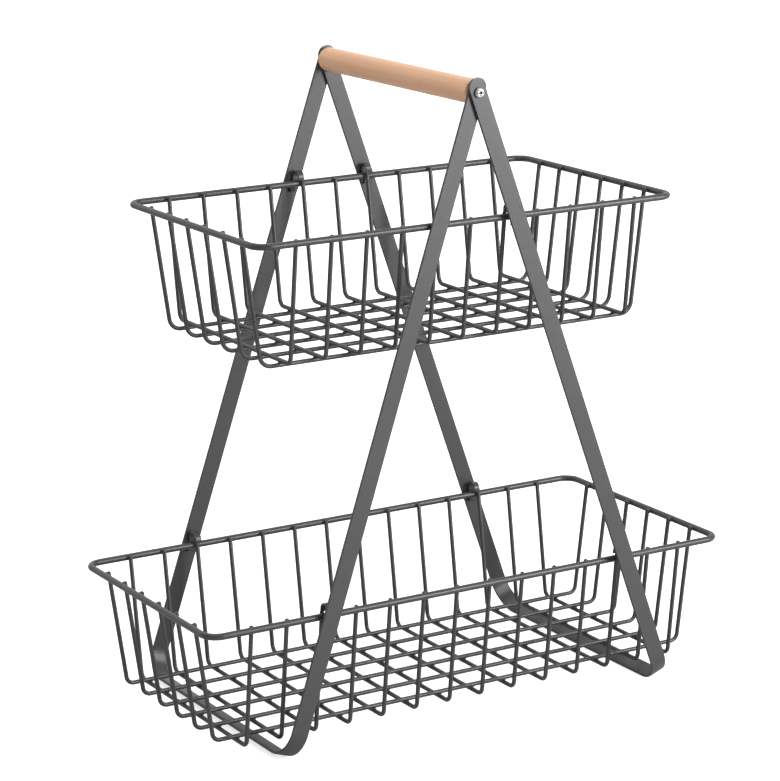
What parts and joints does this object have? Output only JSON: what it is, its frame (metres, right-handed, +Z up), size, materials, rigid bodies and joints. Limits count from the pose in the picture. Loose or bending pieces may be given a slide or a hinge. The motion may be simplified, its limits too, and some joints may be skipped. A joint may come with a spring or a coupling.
{
  "type": "tiered wire basket",
  "caption": "Free-standing two-tier wire basket: open wire baskets hung one above the other on a folding A frame of flat steel strap with a round wooden handle",
  "frame": {"origin": "on the table, midway between the two foot bars and between the front and back legs", "axes": "+X along the baskets' length, +Y from front to back, +Z up"},
  "size_m": [0.4046, 0.208, 0.4353],
  "materials": {
    "frame_coat": "charcoal satin powder coat",
    "basket_coat": "charcoal satin powder coat",
    "handle_wood": "smooth beech, clear satin lacquer",
    "screw_metal": "bright plated steel"
  },
  "bodies": {
    "frame": {"hoop_left": "frame_coat", "handle": "handle_wood", "screw_front": "screw_metal", "screw_back": "screw_metal", "lower_keeper_front_left": "frame_coat", "lower_keeper_back_left": "frame_coat", "upper_keeper_front_left": "frame_coat", "upper_keeper_back_left": "frame_coat"},
    "right_hoop": {"hoop_right": "frame_coat", "lower_keeper_front_right": "frame_coat", "lower_keeper_back_right": "frame_coat", "upper_keeper_front_right": "frame_coat", "upper_keeper_back_right": "frame_coat"},
    "upper_basket": {"upper_rim": "basket_coat", "upper_cross_wire_01": "basket_coat", "upper_cross_wire_02": "basket_coat", "upper_cross_wire_03": "basket_coat", "upper_cross_wire_04": "basket_coat", "upper_cross_wire_05": "basket_coat", "upper_cross_wire_06": "basket_coat", "upper_cross_wire_07": "basket_coat", "upper_cross_wire_08": "basket_coat", "upper_cross_wire_09": "basket_coat", "upper_cross_wire_10": "basket_coat", "upper_cross_wire_11": "basket_coat", "upper_long_wire_1": "basket_coat", "upper_long_wire_2": "basket_coat", "upper_long_wire_3": "basket_coat", "upper_long_wire_4": "basket_coat", "upper_long_wire_5": "basket_coat", "upper_long_wire_6": "basket_coat", "upper_hook_front_left": "basket_coat", "upper_hook_front_right": "basket_coat", "upper_hook_back_left": "basket_coat", "upper_hook_back_right": "basket_coat"},
    "lower_basket": {"lower_rim": "basket_coat", "lower_cross_wire_01": "basket_coat", "lower_cross_wire_02": "basket_coat", "lower_cross_wire_03": "basket_coat", "lower_cross_wire_04": "basket_coat", "lower_cross_wire_05": "basket_coat", "lower_cross_wire_06": "basket_coat", "lower_cross_wire_07": "basket_coat", "lower_cross_wire_08": "basket_coat", "lower_cross_wire_09": "basket_coat", "lower_cross_wire_10": "basket_coat", "lower_cross_wire_11": "basket_coat", "lower_cross_wire_12": "basket_coat", "lower_cross_wire_13": "basket_coat", "lower_cross_wire_14": "basket_coat", "lower_long_wire_1": "basket_coat", "lower_long_wire_2": "basket_coat", "lower_long_wire_3": "basket_coat", "lower_long_wire_4": "basket_coat", "lower_long_wire_5": "basket_coat", "lower_long_wire_6": "basket_coat", "lower_hook_front_left": "basket_coat", "lower_hook_front_right": "basket_coat", "lower_hook_back_left": "basket_coat", "lower_hook_back_right": "basket_coat"}
  },
  "joints": [
    {"name": "frame_fold", "type": "hinge", "parent": "frame", "child": "right_hoop", "pos_m": [0, 0, 0.426], "axis": [0, 1, 0], "range_deg": [0, 28]},
    {"name": "upper_basket_lift", "type": "slide", "parent": "frame", "child": "upper_basket", "axis": [0, 0, 1], "range_m": [0, 0.06]},
    {"name": "lower_basket_lift", "type": "slide", "parent": "frame", "child": "lower_basket", "axis": [0, 0, 1], "range_m": [0, 0.15]}
  ]
}
